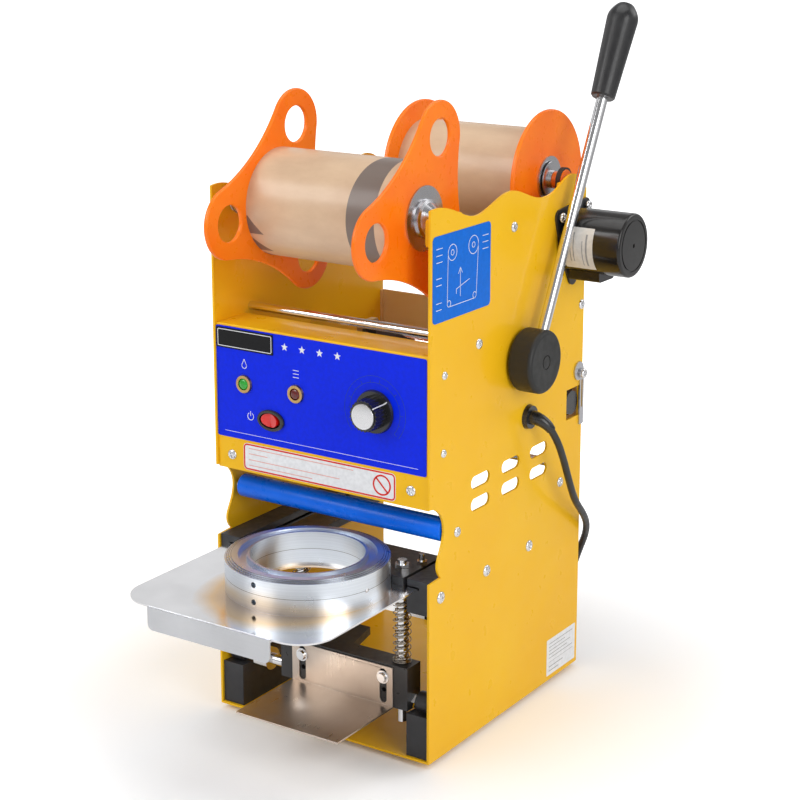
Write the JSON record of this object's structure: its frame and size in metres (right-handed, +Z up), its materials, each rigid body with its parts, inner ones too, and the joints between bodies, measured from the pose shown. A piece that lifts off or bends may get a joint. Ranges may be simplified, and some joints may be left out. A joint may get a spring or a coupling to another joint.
{
  "type": "cup sealing machine",
  "caption": "Bench-top machine that heat-seals film onto cups: a cup slide under a lever-worked heated head, film rolls above and a motor for the film.",
  "frame": {"origin": "centre of the machine's footprint box, on the surface its feet stand on", "axes": "+Z up, -Y towards the operator and the cup slide's handle, +X to the lever and motor side"},
  "size_m": [0.283, 0.5147, 0.6167],
  "materials": {
    "yellow_paint": "gloss powder coat",
    "cover_paint": "gloss powder coat",
    "blue_overlay": "printed film",
    "label_film": "printed film",
    "black_metal": "black oxide, satin",
    "black_nylon": "machined nylon",
    "black_plastic": "moulded",
    "rubber": "matt",
    "orange_plastic": "moulded, gloss",
    "roller_blue": "gloss sleeve",
    "film": "printed sealing film",
    "stainless": "bright rolled",
    "turned_aluminium": "turned and polished",
    "chrome": "polished",
    "spring_steel": "bright wire",
    "brass": "plated",
    "green_lens": "clear lens",
    "red_rocker": "translucent red"
  },
  "bodies": {
    "frame": {"left_side_plate": "yellow_paint", "right_side_plate": "yellow_paint", "base_plate": "yellow_paint", "rear_cover": "cover_paint", "rubber_feet": "rubber", "front_panel": "yellow_paint", "control_overlay": "blue_overlay", "labels": "label_film", "indicator_bezels": "brass", "indicator_lenses": "green_lens", "switch_bezel": "black_plastic", "thermostat": "black_plastic", "case_screws": "chrome", "tray_rails": "black_nylon", "ramp_blocks": "black_nylon", "guide_bars": "chrome", "spindle_brackets": "yellow_paint", "drive_belt": "rubber", "motor_flange": "black_metal", "motor_body": "black_metal", "limit_switch": "black_plastic", "switch_strap": "stainless", "head_guide": "chrome", "head_springs": "spring_steel", "cable_gland": "black_plastic", "power_cord": "black_plastic", "cord_coil": "black_plastic", "power_plug": "black_plastic"},
    "rocker": {"power_rocker": "red_rocker"},
    "knob": {"temperature_knob": "black_plastic"},
    "front_roller": {"film_roller": "roller_blue"},
    "motor_shaft": {"motor_pulley": "turned_aluminium"},
    "takeup": {"takeup_discs": "orange_plastic", "takeup_roll": "film", "takeup_spindle": "chrome", "takeup_pulley": "orange_plastic"},
    "supply": {"supply_discs": "orange_plastic", "supply_roll": "film", "supply_spindle": "chrome", "supply_hubs": "turned_aluminium", "supply_spring": "spring_steel"},
    "lever": {"lever_shaft": "chrome", "crank_arms": "black_metal", "lever_hub": "black_plastic", "lever_rod": "chrome", "lever_grip": "black_plastic"},
    "head": {"head_block": "turned_aluminium", "heater_plate": "turned_aluminium", "cutter_ring": "stainless"},
    "slide": {"tray_plate": "stainless", "tray_handle": "stainless", "lower_ring": "turned_aluminium", "upper_ring": "turned_aluminium", "carriage_plate": "black_metal", "lift_rods": "chrome", "lifter_springs": "spring_steel"},
    "lifter": {"crossbar": "black_metal", "cup_rest": "stainless", "lifter_pins": "chrome"},
    "lift_rollers": {"lifter_rollers": "black_nylon"}
  },
  "joints": [
    {"name": "lever_pivot", "type": "hinge", "parent": "frame", "child": "lever", "pos_m": [-0.0291, 0.0667, 0.3232], "axis": [1, 0, 0], "range_deg": [0, 70], "stiffness_Nm_per_rad": 2, "springref_deg": -20.05},
    {"name": "head_slide", "type": "slide", "parent": "frame", "child": "head", "axis": [0, 0, -1], "range_m": [0, 0.0396], "deforming": ["head_springs"]},
    {"name": "tray_slide", "type": "slide", "parent": "frame", "child": "slide", "axis": [0, 1, 0], "range_m": [0, 0.139]},
    {"name": "lift_slide", "type": "slide", "parent": "slide", "child": "lifter", "axis": [0, 0, -1], "range_m": [0, 0.0121], "deforming": ["lifter_springs"]},
    {"name": "lifter_roller_spin", "type": "hinge", "parent": "lifter", "child": "lift_rollers", "pos_m": [-0.0291, -0.0625, 0.053], "axis": [1, 0, 0], "continuous": true},
    {"name": "supply_spin", "type": "hinge", "parent": "frame", "child": "supply", "pos_m": [-0.0291, -0.0495, 0.4605], "axis": [1, 0, 0], "continuous": true},
    {"name": "takeup_spin", "type": "hinge", "parent": "frame", "child": "takeup", "pos_m": [-0.0291, 0.1535, 0.464], "axis": [1, 0, 0], "continuous": true},
    {"name": "motor_spin", "type": "hinge", "parent": "frame", "child": "motor_shaft", "pos_m": [0.0709, 0.1535, 0.4134], "axis": [1, 0, 0], "continuous": true},
    {"name": "film_roller_spin", "type": "hinge", "parent": "frame", "child": "front_roller", "pos_m": [-0.0291, -0.0495, 0.203], "axis": [1, 0, 0], "continuous": true},
    {"name": "rocker_tilt", "type": "hinge", "parent": "frame", "child": "rocker", "pos_m": [-0.0791, -0.0715, 0.277], "axis": [0, 0, 1], "range_deg": [0, 16]},
    {"name": "knob_turn", "type": "hinge", "parent": "frame", "child": "knob", "pos_m": [0.0269, -0.0755, 0.302], "axis": [0, -1, 0], "range_deg": [-300, 0]}
  ],
  "couplings": [
    {"joint": "head_slide", "follows": "lever_pivot", "m_per_rad": 0.03236},
    {"joint": "lift_slide", "follows": "tray_slide", "ratio": 0.08633},
    {"joint": "lifter_roller_spin", "follows": "tray_slide", "rad_per_m": -117.65},
    {"joint": "motor_spin", "follows": "takeup_spin", "ratio": 1}
  ]
}
